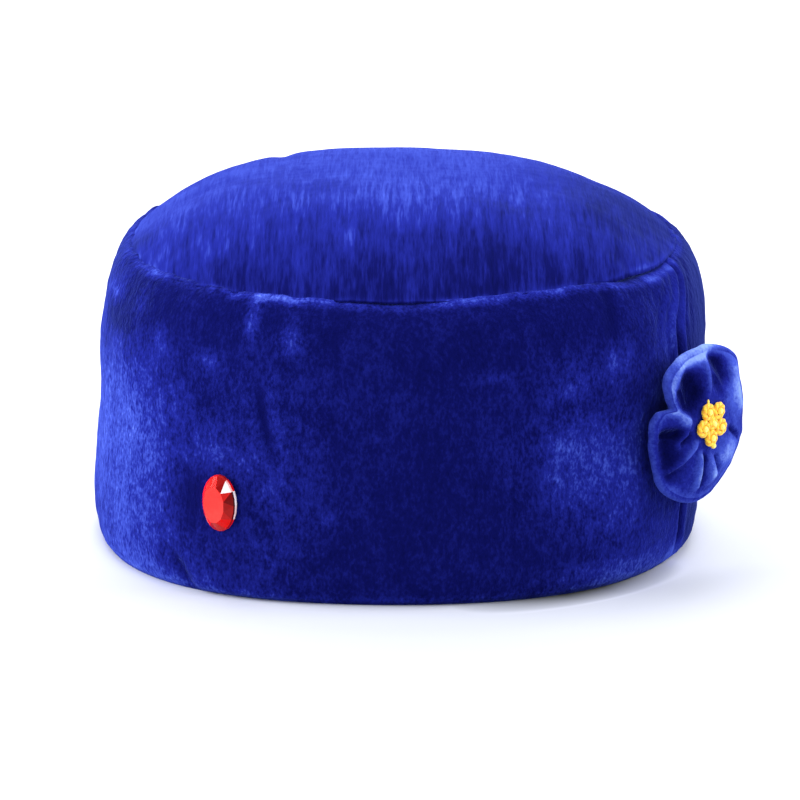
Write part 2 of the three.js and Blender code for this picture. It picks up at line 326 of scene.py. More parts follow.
def mesh_object(name, points, faces, smooth=True):
    mesh = bpy.data.meshes.new(name)
    mesh.from_pydata((np.asarray(points) * MM).tolist(), [], [list(f) for f in faces])
    mesh.update()
    if smooth:
        mesh.polygons.foreach_set("use_smooth", [True] * len(mesh.polygons))
    piece = bpy.data.objects.new(name, mesh)
    bpy.context.scene.collection.objects.link(piece)
    return piece


def ring_faces(rows, columns, closed):
    """Quads between rings of points. A closed body's last ring meets its first."""
    row = np.arange(rows if closed else rows - 1)[:, None]
    column = np.arange(columns)[None, :]
    here, above, beside = row * columns, (row + 1) % rows * columns, (column + 1) % columns
    corners = [here + column, here + beside, above + beside, above + column]
    return np.stack(corners, -1).reshape(-1, 4).tolist()


def pole_faces(rows, columns):
    """Triangles from a pole to the first ring and from the last ring to a second pole."""
    first, second = rows * columns, rows * columns + 1
    last = (rows - 1) * columns
    fans = [(first, (c + 1) % columns, c) for c in range(columns)]
    fans += [(last + c, last + (c + 1) % columns, second) for c in range(columns)]
    return fans


def pole_body(name, rings):
    """A closed piece through rings of points, with a pole in the middle of its end rings."""
    points = np.asarray(rings)
    rows, columns = points.shape[:2]
    flat = np.concatenate([points.reshape(-1, 3), [points[0].mean(0), points[-1].mean(0)]])
    faces = ring_faces(rows, columns, False) + pole_faces(rows, columns)
    return mesh_object(name, flat, faces), flat


def paint(piece, name, values):
    """Stores a number for each vertex, which the materials read."""
    layer = piece.data.attributes.new(name, "FLOAT", "POINT")
    layer.data.foreach_set("value", np.asarray(values, np.float32).ravel())


def place(piece, material, node):
    """Gives a piece its material, hangs it under the root body and hides the model's part it stands for.
    """
    piece.data.materials.append(material)
    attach(piece, "root")
    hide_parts(node)
    return piece


# Materials


def colour(r, g, b):
    """Linear colour from the 0 to 255 numbers of the sRGB scale."""
    shares = (r / 255, g / 255, b / 255)
    return tuple(c / 12.92 if c <= 0.04045 else ((c + 0.055) / 1.055) ** 2.4 for c in shares) + (1.0,)


class Nodes:
    """A material's node tree, with short calls that add and join nodes."""

    def __init__(self, name):
        self.material = bpy.data.materials.new(name)
        self.material.use_nodes = True
        self.tree = self.material.node_tree
        self.shader = self.tree.nodes["Principled BSDF"]

    def put(self, socket, value):
        if isinstance(value, bpy.types.NodeSocket):
            self.tree.links.new(value, socket)
        else:
            socket.default_value = value

    def add(self, kind, inputs=(), **settings):
        node = self.tree.nodes.new(kind)
        for key, value in settings.items():
            setattr(node, key, value)
        for key, value in dict(inputs).items():
            self.put(node.inputs[key], value)
        return node

    def math(self, operation, *values):
        return self.add("ShaderNodeMath", enumerate(values), operation=operation).outputs[0]

    def noise(self, vector, scale, detail, roughness, distortion=0.0):
        inputs = {"Vector": vector, "Scale": scale, "Detail": detail, "Roughness": roughness}
        inputs["Distortion"] = distortion
        return self.add("ShaderNodeTexNoise", inputs).outputs["Fac"]

    def mapped(self, vector, rotation=(0, 0, 0), scale=(1, 1, 1)):
        inputs = {"Vector": vector, "Rotation": rotation, "Scale": scale}
        return self.add("ShaderNodeMapping", inputs).outputs[0]

    def varied(self, value, noise, strength):
        """A value made larger and smaller by a noise whose mean is one half."""
        return self.math("MULTIPLY_ADD", self.math("SUBTRACT", noise, 0.5), strength, value)

    def ramp(self, factor, stops):
        node = self.add("ShaderNodeValToRGB", {"Fac": factor})
        while len(node.color_ramp.elements) < len(stops):
            node.color_ramp.elements.new(0.5)
        for element, (position, value) in zip(node.color_ramp.elements, stops):
            element.position = position
            element.color = value
        return node.outputs["Color"]

    def attribute(self, name):
        return self.add("ShaderNodeAttribute", attribute_name=name).outputs["Fac"]

    def bump(self, height, strength, distance, normal=None):
        inputs = {"Height": height, "Strength": strength, "Distance": distance}
        if normal is not None:
            inputs["Normal"] = normal
        return self.add("ShaderNodeBump", inputs).outputs[0]

    def principled(self, **inputs):
        for key, value in inputs.items():
            self.put(self.shader.inputs[key.replace("_", " ")], value)


# Colours of the velvet from its nap lying down to its nap standing up, which also give the
# painted shade and painted highlights carried in the nap attribute
VELVET_TONES = [
    (0.00, colour(5, 7, 50)),
    (0.25, colour(12, 15, 82)),
    (0.50, colour(27, 34, 130)),
    (0.75, colour(61, 79, 183)),
    (1.00, colour(124, 150, 226)),
]

# Noises of the velvet: its clouds, tufts, streaks and fibres
PILE = [
    # scale, detail, roughness, distortion
    (45, 3, 0.6, 0.5),
    (150, 4, 0.65, 0.6),
    (420, 3, 0.65, 0.3),
    (1100, 2, 0.6, 0.0),
]

# How the three cloths' streaks are drawn out, how strong their noises are, and how much of that is
# left where the band's nap lies down
BAND_STRETCH = (1, 1, 0.6)
BAND_STRENGTHS = (0.36, 0.34, 0.48, 0.62)
BAND_FLAT_SHARE = 0.30
CROWN_STRETCH = (1, 0.07, 0.2)
CROWN_STRENGTHS = (0.26, 0.20, 0.44, 0.40)
ROSETTE_STRETCH = (1, 1, 1)
ROSETTE_STRENGTHS = (0.1, 0.18, 0.24, 0.24)

# Painted nap at which the pile lies down, and at which it stands up
NAP_RISE = (0.15, 0.42)

# Relief of the pile: strength, height in metres, and the fibres' part beside the streaks
FINE_BUMP = (0.5, 0.0009)
TUFT_BUMP = (0.32, 0.002)
FIBRES_IN_BUMP = 0.6

# Golden cord: colours from the painted shade of its grooves to the painted highlight of its
# crests, and its grain, with its relief as above
CORD_TONES = [
    (0.00, colour(190, 98, 2)),
    (0.35, colour(236, 162, 6)),
    (0.62, colour(252, 204, 20)),
    (1.00, colour(255, 242, 124)),
]
CORD_GRAIN = (2600, 2, 0.6)
CORD_GRAIN_STRENGTH = 0.35
CORD_BUMP = (0.3, 0.0003)

# Reds of the gem from the darkest facet to the lightest, up to the near white of painted
# reflections and glints, and the haze in it
GEM_TONES = [
    (0.00, colour(56, 0, 2)),
    (0.20, colour(140, 3, 3)),
    (0.42, colour(176, 34, 30)),
    (0.56, colour(232, 10, 6)),
    (0.66, colour(242, 26, 26)),
    (0.75, colour(222, 54, 50)),
    (0.86, colour(240, 104, 92)),
    (1.00, colour(255, 240, 240)),
]
GEM_HAZE = (220, 2, 0.5)
GEM_HAZE_STRENGTH = 0.07


def velvet(name, stretch, strengths, flat_share, turn=0.0):
    """Plush velvet. Stretch under one draws the nap's streaks out, with the axes turned about Z.
    The strengths are those of its clouds, tufts, streaks and fibres where the nap stands up. They
    fall to the flat share of it where the nap lies down, and further where a place is calm."""
    n = Nodes(name)
    spot = n.add("ShaderNodeTexCoord").outputs["Object"]
    drawn = n.mapped(n.mapped(spot, rotation=(0, 0, rad(turn))), scale=stretch)
    noises = [n.noise(vector, *row) for vector, row in zip((spot, drawn, drawn, drawn), PILE)]
    changes = 0.0
    for noise, strength in zip(noises, strengths):
        changes = n.varied(changes, noise, strength)
    # The nap attribute holds the nap's own lie together with painted shade and painted highlights
    painted = n.attribute("nap")
    low, high = NAP_RISE
    rise = {"Value": painted, "From Min": low, "From Max": high, "To Min": flat_share}
    share = n.add("ShaderNodeMapRange", rise, interpolation_type="SMOOTHSTEP").outputs["Result"]
    share = n.math("MULTIPLY", share, n.math("SUBTRACT", 1.0, n.attribute("calm")))
    nap = n.math("MULTIPLY_ADD", changes, share, painted)
    _, tufts, streaks, fibres = noises
    fine = n.bump(n.math("MULTIPLY_ADD", fibres, FIBRES_IN_BUMP, streaks), *FINE_BUMP)
    n.principled(Base_Color=n.ramp(nap, VELVET_TONES), Normal=n.bump(tufts, *TUFT_BUMP, fine))
    n.principled(Roughness=0.92, Specular_IOR_Level=0.0)
    n.principled(Sheen_Weight=0.4, Sheen_Roughness=0.33, Sheen_Tint=colour(104, 126, 236))
    return n.material


def golden_cord():
    """Silky golden cord, with painted shade making it darker and more orange in its grooves."""
    n = Nodes("golden cord")
    grain = n.noise(n.add("ShaderNodeTexCoord").outputs["Object"], *CORD_GRAIN)
    tone = n.ramp(n.varied(n.attribute("nap"), grain, CORD_GRAIN_STRENGTH), CORD_TONES)
    n.principled(Base_Color=tone, Roughness=0.38, Normal=n.bump(grain, *CORD_BUMP))
    n.principled(Sheen_Weight=0.2)
    return n.material


def gem_acrylic():
    """Clear red acrylic over a foil back, whose facets carry painted reflections: lighter and darker
    reds and pale glints.
    """
    n = Nodes("gem acrylic")
    haze = n.noise(n.add("ShaderNodeTexCoord").outputs["Object"], *GEM_HAZE)
    tone = n.ramp(n.varied(n.attribute("nap"), haze, GEM_HAZE_STRENGTH), GEM_TONES)
    n.principled(Base_Color=tone)
    n.principled(Roughness=0.08, Specular_IOR_Level=0.1)
    return n.material


# Middle of the stretch of hem with a painted contact shadow on the floor, in degrees around, and
# where the shadow begins and ends to fade: in metres from the hat's axis and in metres from that
# middle
PAINTED_SHADOW_AROUND = 70
PAINTED_SHADOW_FROM_AXIS = (0.099, 0.112)
PAINTED_SHADOW_ALONG = (0.008, 0.046)

# Tones of the floor by the distance from the hat's axis in metres: painted shade, darkest some way
# out from the hem and lighter right by it, and the painted contact shadow's tone at 0
FLOOR_TONES = [
    (0.000, colour(62, 64, 60)),
    (0.090, colour(202, 206, 217)),
    (0.103, colour(226, 230, 242)),
    (0.122, colour(210, 214, 224)),
    (0.145, colour(201, 204, 211)),
    (0.180, colour(201, 204, 210)),
    (0.300, colour(214, 216, 222)),
    (0.950, colour(238, 239, 242)),
]


def floor_paint():
    """Pale matt floor with painted shade a little darker near the hat, and a dark painted contact
    shadow by the hem.
    """
    n = Nodes("floor")
    spot = n.add("ShaderNodeTexCoord").outputs["Object"]
    from_axis = n.add("ShaderNodeVectorMath", {0: spot}, operation="LENGTH").outputs["Value"]
    shadow_middle = tuple(bearing(PAINTED_SHADOW_AROUND) * RADIUS * MM) + (0,)
    along = n.add("ShaderNodeVectorMath", {0: spot, 1: shadow_middle}, operation="DISTANCE").outputs["Value"]
    # Painted contact shadow by the hem, where the tone falls towards its value at 0
    shade = 1.0
    for distance, (near, far) in ((from_axis, PAINTED_SHADOW_FROM_AXIS), (along, PAINTED_SHADOW_ALONG)):
        fade = {"Value": distance, "From Min": near, "From Max": far, "To Min": 1.0, "To Max": 0.0}
        shade = n.math("MULTIPLY", shade, n.add("ShaderNodeMapRange", fade).outputs["Result"])
    shaded = n.math("MULTIPLY", from_axis, n.math("SUBTRACT", 1.0, shade))
    n.principled(Base_Color=n.ramp(shaded, FLOOR_TONES), Roughness=0.7)
    return n.material


# The side band

BAND_COLUMNS = 700
BAND_ANGLES = np.arange(BAND_COLUMNS) * 360 / BAND_COLUMNS

# Runs of rings on the band's outside and inside: from and to which height up, and how many
OUTER_RINGS = [(0.00, 0.10, 15), (0.10, 0.93, 83), (0.93, 1.00, 12)]
INNER_RINGS = [(0.97, 0.03, 21)]

# How much of the outside's unevenness the two edges and the inside have, the heights up in which
# it grows by one and in which the dents come in, and how deep the gathers are
EDGE_FACE = 0.2
INNER_FACE = 0.4
FACE_RISE = 0.04
DENT_RISE = 0.02
BAND_GATHER_DEPTH = 0.6

# Where the nap lies evenest, beside the upright seam, and how much of its changes go there
CALM_SIDE = 102
CALM_WIDTH = 18
BAND_CALM = 0.65

# How far the pile of the band's edge stands up over the crown seam, how far down it does, how
# uneven it is, and how much it sinks where the crevice beside it has painted shade
SEAM_LIP = 1.25
LIP_WIDTH = 1.4
LIP_CHANGE = 0.5
LIP_LOSS = 4

# Lighter and darker places on the side band, partly the nap's own lie and partly painted light
# and painted shade, and how light any may be
BAND_NAP = 0.25
NAP_LIMIT = 0.72
BAND_PATCHES = [
    # around, up, half width, half height, lightness
    (-52, 0.45, 28, 0.50, 0.39),
    (-23, 0.46, 13, 0.26, 0.24),
    (-20, 0.15, 16, 0.14, 0.18),
    (-33, 0.81, 8, 0.05, -0.14),
    (-19, 0.88, 14, 0.08, -0.06),
    (-24, 0.90, 3, 0.04, 0.12),
    (-15, 0.80, 2, 0.05, 0.10),
    (-38, 0.89, 5, 0.04, 0.20),
    (8, 0.60, 14, 0.18, 0.10),
    (-1, 0.47, 8, 0.07, 0.14),
    (8, 0.35, 4, 0.08, 0.10),
    (-6, 0.32, 4, 0.12, -0.13),
    (13, 0.33, 8, 0.14, 0.07),
    (10, 0.16, 8, 0.08, 0.08),
    (20, 0.29, 1.6, 0.02, 0.16),
    (4.5, 0.91, 1.4, 0.06, 0.22),
    (13, 0.85, 2.5, 0.04, 0.20),
    (-4, 0.77, 2.5, 0.03, 0.16),
    (21, 0.71, 0.8, 0.10, 0.08),
    (50, 0.75, 4, 0.02, 0.10),
    (65, 0.45, 9, 0.16, 0.37),
    (57.5, 0.42, 2.6, 0.10, -0.12),
    (65.5, 0.42, 3, 0.05, -0.15),
    (62, 0.51, 2, 0.03, 0.10),
    (76, 0.42, 3.5, 0.14, 0.18),
    (79, 0.53, 2.5, 0.06, 0.14),
    (64, 0.68, 4, 0.03, 0.12),
    (74, 0.75, 2.5, 0.04, 0.12),
    (83, 0.62, 3.5, 0.07, 0.14),
    (68, 0.73, 9, 0.08, 0.12),
    (72.5, 0.78, 0.8, 0.08, 0.22),
    (76, 0.24, 9, 0.12, 0.12),
    (77, 0.06, 15, 0.05, 0.27),
    (84, 0.03, 12, 0.03, 0.14),
    (89, 0.14, 7, 0.08, 0.13),
    (94.5, 0.04, 2.6, 0.035, 0.42),
    (106, 0.15, 6, 0.2, -0.12),
    (130, 0.72, 20, 0.26, -0.18),
    (85, 0.50, 5, 0.26, 0.14),
    (92, 0.88, 8, 0.12, 0.17),
    (88.5, 0.76, 4, 0.09, 0.24),
    (-13, 0.03, 10, 0.05, 0.24),
    (-30, 0.05, 14, 0.06, 0.14),
    (150, 0.45, 22, 0.35, 0.14),
    (205, 0.30, 26, 0.25, 0.16),
    (250, 0.55, 24, 0.35, 0.10),
]

# Pile along the crown seam: its painted highlight, and the painted shade of the crevice beside it
SEAM_HIGHLIGHT_AND_CREVICE_SHADE = [
    # around, lightness, darkness
    (-60, 0.15, 0.00),
    (-35, 0.16, 0.02),
    (-24, 0.34, 0.00),
    (-18, 0.30, 0.00),
    (-13, 0.10, 0.00),
    (-9, 0.14, 0.00),
    (-5, 0.46, 0.00),
    (10, 0.50, 0.00),
    (16, 0.28, 0.00),
    (22, 0.34, 0.16),
    (29, 0.30, 0.20),
    (36, 0.12, 0.16),
    (42, 0.42, 0.05),
    (53, 0.50, 0.00),
    (60, 0.18, 0.00),
    (67, 0.36, 0.00),
    (76, 0.30, 0.05),
    (82, 0.32, 0.30),
    (96, 0.36, 0.26),
    (104, 0.30, 0.12),
    (150, 0.25, 0.05),
    (220, 0.30, 0.05),
]

# How much of that painted highlight there is on average, and how far the gathers change it
SEAM_HIGHLIGHT_LEVEL = 0.8
SEAM_HIGHLIGHT_CHANGE = 0.9

# The same painted highlight and painted crevice shade on the two sides of the seam: share of the
# values above, distance from the seam in millimetres, and width
BAND_SEAM_HIGHLIGHT = (1.0, 0.7, 1.0)
BAND_CREVICE_SHADE = (0.4, 0.0, 0.7)
CROWN_SEAM_HIGHLIGHT = (0.6, 0.8, 1.2)
CROWN_CREVICE_SHADE = (1.0, 0.0, 0.9)

# How much darker dents and the upright seam's groove are by painted shade, and how much lighter a
# line just above the rim is by a painted highlight
DENT_SHADE = 0.35
GROOVE_SHADE = 0.12
RIM_HIGHLIGHT = 0.12
RIM_LINE_UP = 0.02
RIM_LINE_HEIGHT = 0.012


def soft_lumps(points, fine=1.0):
    """Unevenness of velvet over padding, in millimetres outwards."""
    return layered_noise(points, BROAD_LUMPS) + fine * layered_noise(points, FINE_LUMPS)


def gathers(around, seed):
    """Uneven small gathers along the crown seam, from -1 to 1."""
    along = np.stack([rad(around) * RADIUS, 0 * around, 0 * around], -1)
    return layered_noise(along, GATHERS, seed)


def painted_seam_highlight(around, seed):
    """Painted highlight of the uneven pile beside the crown seam."""
    return eased_round(SEAM_HIGHLIGHT_AND_CREVICE_SHADE, 1, around) * (SEAM_HIGHLIGHT_LEVEL + SEAM_HIGHLIGHT_CHANGE * gathers(around, seed))


def by_seam(from_seam, row):
    """How much of the crown seam's painted highlight or painted crevice shade there is at a distance
    from it.
    """
    share, middle, width = row
    return share * bell(from_seam - middle, width)


def band_ring(up, girth, face, inset=0.0, drop=0.0):
    """One ring of the side band. Face is how much of the outside's unevenness it follows."""
    around = BAND_ANGLES
    ups = np.full(BAND_COLUMNS, float(up))
    below = (1 - up) * SEAM_HEIGHT
    plan = plan_point(around, np.full(BAND_COLUMNS, float(girth)))
    flat = lean(plan, ups * seam_height(plan))
    within = slack(around, ups) + pull(around, ups)
    out = face * soft_lumps(flat) - within * min(1, up / DENT_RISE)
    out = out + face * BAND_GATHER_DEPTH * gathers(around, BAND_GATHERS) * math.exp(-below / GATHER_FADE)
    plan = plan + bearing(around) * (out - inset)[..., None]
    lip = SEAM_LIP * (1 - LIP_LOSS * eased_round(SEAM_HIGHLIGHT_AND_CREVICE_SHADE, 2, around))
    lip = lip * (1 + LIP_CHANGE * gathers(around, LIP_GATHERS))
    return lean(plan, ups * (seam_height(plan) - drop) + face * bell(below, LIP_WIDTH) * lip)


def side_band():
    rings = []
    ups = spaced(OUTER_RINGS)
    for up, girth in zip(ups, eased_table(BAND_OUTLINE, 1, ups)):
        drop = GAP / 2 if up == 1 else 0
        rings.append(band_ring(up, girth, min(1.0, EDGE_FACE + up / FACE_RISE), drop=drop))
    outer = len(rings)
    rings.append(band_ring(1, CROWN_GIRTH - WALL / RADIUS, EDGE_FACE, drop=GAP / 2))
    ups = spaced(INNER_RINGS)
    for up, girth in zip(ups, eased_table(BAND_OUTLINE, 1, ups)):
        rings.append(band_ring(up, girth, INNER_FACE, inset=WALL))
    rings.append(band_ring(0, BAND_OUTLINE[0][1], EDGE_FACE, inset=FOOT_WIDTH))
    points = np.array(rings)
    piece = mesh_object("band_velvet", points.reshape(-1, 3), ring_faces(len(rings), BAND_COLUMNS, True))
    paint(piece, "nap", band_nap_and_painted_light(points, outer))
    calm = BAND_CALM * bell(apart(BAND_ANGLES, CALM_SIDE), CALM_WIDTH)
    paint(piece, "calm", np.broadcast_to(calm, points.shape[:2]))
    return piece


def band_nap_and_painted_light(points, outer):
    """Lightness of the nap, with painted shade and painted highlights, on the rings of the band, the
    first of which are its outside.
    """
    around = np.broadcast_to(BAND_ANGLES, points.shape[:2])
    up = np.clip(points[..., 2] / SEAM_HEIGHT, 0, 1)
    nap = np.full(points.shape[:2], BAND_NAP)
    for p_around, p_up, wide, tall, light in BAND_PATCHES:
        nap = nap + light * bell(apart(around, p_around), wide) * bell(up - p_up, tall)
    # Painted shade in dents and in the upright seam's groove, and a painted highlight above the rim
    nap = nap - DENT_SHADE * slack(around, up, sharp=True) - GROOVE_SHADE * pull(around, up)
    nap = nap + RIM_HIGHLIGHT * bell(up - RIM_LINE_UP, RIM_LINE_HEIGHT)
    below = SEAM_HEIGHT * (1 - points[..., 2] / np.maximum(points[outer - 1, :, 2], 1))
    # Painted highlight of the pile along the crown seam, and painted shade in the crevice beside it
    nap = nap + painted_seam_highlight(around, BAND_GATHERS) * by_seam(below, BAND_SEAM_HIGHLIGHT)
    nap = nap - eased_round(SEAM_HIGHLIGHT_AND_CREVICE_SHADE, 2, around) * by_seam(below, BAND_CREVICE_SHADE)
    nap[outer:] = BAND_NAP
    return np.minimum(nap, NAP_LIMIT)


# The crown

CROWN_COLUMNS = 480
CROWN_ANGLES = np.arange(CROWN_COLUMNS) * 360 / CROWN_COLUMNS
CROWN_TUCK = 0.8

# Runs of rings on the crown's outside and inside: from and to which share of their own reach, and
# how many
OUTER_REACHES = [(0.985, 0.93, 9), (0.93, 0.015, 85)]
INNER_REACHES = [(0.05, 0.97, 19)]

# How much of the outside's unevenness the inside has, how far from the seam the outside has all of
# it, how strong the fine lumps and the gathers are, and by what power of the reach the band's
# dents fade
CROWN_INNER_FACE = 0.3
CROWN_FACE_RISE = 2
CROWN_FINE = 0.4
CROWN_GATHER_DEPTH = 0.5
CROWN_DENT_FADE = 6

# How much of the nap's changes goes at the rear of the crown, and where that begins and ends
CROWN_CALM = 0.5
CROWN_CALM_AWAY = (-40, 10)

# Streaks in which the crown's lightness runs on: mm to the side and away, reach in mm, and seed
STREAK_SIZE = (2, 14)
STREAK_REACH = 5
STREAK_SEED = 41

# Painted sheen across the crown, lighter the farther away, and its lighter and darker places,
# partly painted shade such as its darker right side, in the plan: mm to the right and away from
# where the crown seam is lowest
CROWN_PAINTED_SHEEN = [
    # away, lightness
    (-92, 0.24),
    (-82, 0.27),
    (-74, 0.32),
    (-64, 0.37),
    (-54, 0.43),
    (-42, 0.50),
    (-20, 0.54),
    (20, 0.55),
    (92, 0.54),
]
CROWN_PATCHES = [
    # right, away, half width, half depth, lightness
    (-70, -44, 16, 12, -0.05),
    (-86, -18, 10, 16, -0.20),
    (-40, -10, 14, 18, -0.06),
    (82, -2, 32, 40, -0.30),
    (68, -28, 12, 12, -0.10),
    (-52, 34, 16, 10, -0.05),
    (-20, -22, 12, 8, -0.07),
    (-62, -34, 14, 12, -0.05),
    (44, -40, 14, 12, -0.05),
    (34, -70, 22, 10, -0.04),
    (30, -40, 14, 10, -0.05),
    (-14, -62, 3, 8, 0.14),
    (40, -66, 20, 10, -0.05),
    (-30, -72, 10, 6, 0.06),
]

# Dents of the crown, and swellings where the depth is negative, in the same plan
CROWN_DENTS = [
    # right, away, half width, half depth, depth
    (-39, 50, 3, 26, 0.9),
    (-54, 44, 12, 26, -0.4),
    (64, 22, 5, 26, 0.6),
    (76, -12, 5, 22, 0.7),
]


def right_and_away(plan):
    return plan @ bearing(LEAN_SIDE), -(plan @ bearing(LOW_SIDE))


def crown_ring(reach, height, face):
    """One ring of the crown. Face is how much of the outside's unevenness it follows."""
    around = CROWN_ANGLES
    plan = plan_point(around, np.full(CROWN_COLUMNS, CROWN_GIRTH * reach))
    dents = slack(around, np.ones(CROWN_COLUMNS)) * reach**CROWN_DENT_FADE
    plan = plan - bearing(around) * dents[..., None]
    right, away = right_and_away(plan)
    flat = lean(plan, seam_height(plan) + height * (1 - DOME_SWELL * right / RADIUS))
    gathered = CROWN_GATHER_DEPTH * math.exp(-(1 - reach) * RADIUS / GATHER_FADE)
    raised = soft_lumps(flat, CROWN_FINE) + gathered * gathers(around, CROWN_GATHERS)
    raised = raised - patchwork(CROWN_DENTS, right, away)
    return flat + UPWARD * (face * raised)[..., None]


def crown_top():
    radius = RADIUS * CROWN_GIRTH
    inner_reach = 1 - WALL / radius
    rows = []
    for step in spaced(INNER_REACHES):
        rows.append((step * inner_reach, (DOME_RISE - WALL) * (1 - step**DOME_POWER), CROWN_INNER_FACE))
    rows.append((inner_reach, GAP / 2, 0))
    rows.append((1 - CROWN_TUCK / radius, GAP / 2, 0))
    rows.append((1 - CROWN_TUCK / 2 / radius, GAP / 2 + CROWN_TUCK / 3, 0))
    for reach in spaced(OUTER_REACHES):
        face = min(1.0, (1 - reach) * RADIUS / CROWN_FACE_RISE)
        rows.append((reach, DOME_RISE * (1 - reach**DOME_POWER), face))
    piece, points = pole_body("crown_velvet", [crown_ring(*row) for row in rows])
    inside = [(1 - reach) * radius for reach, _, _ in rows]
    inside = np.append(np.repeat(inside, CROWN_COLUMNS), [radius, radius])
    right, away = right_and_away(points[:, :2])
    paint(piece, "nap", crown_nap_and_painted_light(around_of(points), inside, right, away))
    paint(piece, "calm", CROWN_CALM * smooth_step(away, *CROWN_CALM_AWAY))
    return piece


def crown_nap_and_painted_light(around, inside, right, away):
    """Lightness of the nap on the crown, with painted sheen, painted shade and a painted seam
    highlight. Inside is the distance from the seam, in millimetres.
    """
    wide, long = STREAK_SIZE
    streaks = value_noise(np.stack([right / wide, away / long, 0 * right], -1), 1.0, STREAK_SEED)
    # Painted sheen, lighter the farther away, with painted light and shade in the patches
    nap = eased_table(CROWN_PAINTED_SHEEN, 1, away + STREAK_REACH * streaks)
    nap = nap + patchwork(CROWN_PATCHES, right, away)
    # Painted highlight of the pile along the crown seam, and painted shade in the crevice beside it
    nap = nap + painted_seam_highlight(around, CROWN_GATHERS) * by_seam(inside, CROWN_SEAM_HIGHLIGHT)
    return nap - eased_round(SEAM_HIGHLIGHT_AND_CREVICE_SHADE, 2, around) * by_seam(inside, CROWN_CREVICE_SHADE)


# The rosette

ROSETTE_CENTRE = np.array([118.5, 1.4, 50.0])
ROSETTE_FACES = 82
REARWARD = np.array([math.cos(rad(ROSETTE_FACES)), math.sin(rad(ROSETTE_FACES)), 0.0])
OUTWARD = np.array([math.sin(rad(ROSETTE_FACES)), -math.cos(rad(ROSETTE_FACES)), 0.0])
ROSETTE_COLUMNS = 400
CLOTH = 3.2

# Neck of the rosette, from its end near the band to the ruffle's back: radius and distance out
NECK_RINGS = [(4.5, -13.2), (8.1, -12.6), (9.0, -9.0), (14.0, -7.4)]

# The ruffle's back, from the neck to the rolled edge: rings, the share of the way at which they
# start, and how much of the face's shape they follow at its two ends
BACK_RINGS = 12
BACK_START = 0.08
BACK_FOLLOW = (0.4, 1.0)

# Rolled edge and face of the ruffle: rings, and the reach of the innermost one
ROLL_RINGS = 13
FACE_RINGS = 73
FACE_MIDDLE = 0.02

# Radius of the flat seat of the cord blossom, and from where to where beside its edge folds come in
SEAT = 8.5
SEAT_EDGE = (-1.5, 4)

# How the ruffle bends back towards its edge, and how much of its folds goes there
DROOP_POWER = 1.8
EDGE_LOSS = 0.8
EDGE_LOSS_POWER = 4

# Lumps of the ruffle, and by what share of its free width they have come in
RUFFLE_LUMPS = [(0.35, 7, 21), (0.14, 2.6, 22)]
RUFFLE_LUMPS_START = 0.2

# Edge of the ruffle, by the angle from the wearer's rear, anticlockwise as seen from outside
RUFFLE = [
    # angle, reach, lift
    (11, 22.2, -5.0),
    (26, 22.0, -4.8),
    (48, 25.6, -5.0),
    (72, 24.5, -5.0),
    (97, 24.1, -5.2),
    (113, 24.7, -5.2),
    (132, 25.6, -4.7),
    (142, 24.4, -4.8),
    (156, 17.8, -6.0),
    (164, 22.2, -5.5),
    (174, 24.3, -5.3),
    (198, 23.5, -5.8),
    (215, 24.4, -5.8),
    (230, 26.6, -5.8),
    (246, 26.4, -5.6),
    (266, 26.3, -5.3),
    (280, 25.5, -5.0),
    (296, 23.9, -5.0),
    (322, 22.6, -5.0),
    (333, 22.6, -5.0),
    (341, 23.2, -5.0),
    (355, 22.1, -5.0),
]

# Lightness of the rosette's nap: its face, neck, back and middle, the painted highlight added on
# the roll, on ridges (and the painted shade taken off in hollows) and towards the edge, and
# lighter and darker places of painted light and shade
ROSETTE_NAP = 0.51
NECK_NAP = 0.1
BACK_NAP = (0.15, 0.25)
MIDDLE_NAP = 0.3
ROLL_LIGHT = 0.16
FOLD_LIGHT = 0.16
FOLD_LIMITS = (-2.2, 2.0)
EDGE_LIGHT = 0.14
EDGE_LIGHT_START = 0.86
ROSETTE_PATCHES = [
    # right, up, half width, half height, lightness
    (-7.5, 13, 5, 6, -0.14),
    (7.5, 18.5, 4, 2.8, -0.12),
    (4.5, 13, 3, 4, -0.12),
    (-2, 22, 8, 2.6, 0.34),
    (-11, 20, 4, 3, 0.24),
    (4, 24.5, 6, 1.8, 0.26),
    (13, 9, 6, 9, 0.26),
    (20, -4, 3, 6, -0.10),
    (9, -10.5, 7, 6, 0.19),
    (2.4, -17.0, 2.0, 3.0, 0.22),
    (-3.4, -15, 0.9, 6, -0.16),
    (-5.8, -17, 1.2, 4, 0.12),
    (-17, 14, 3, 5, 0.08),
    (-19, -2, 5, 5, -0.16),
    (-16, -10, 5, 5, -0.12),
    (-8, -20, 6, 3, -0.04),
]

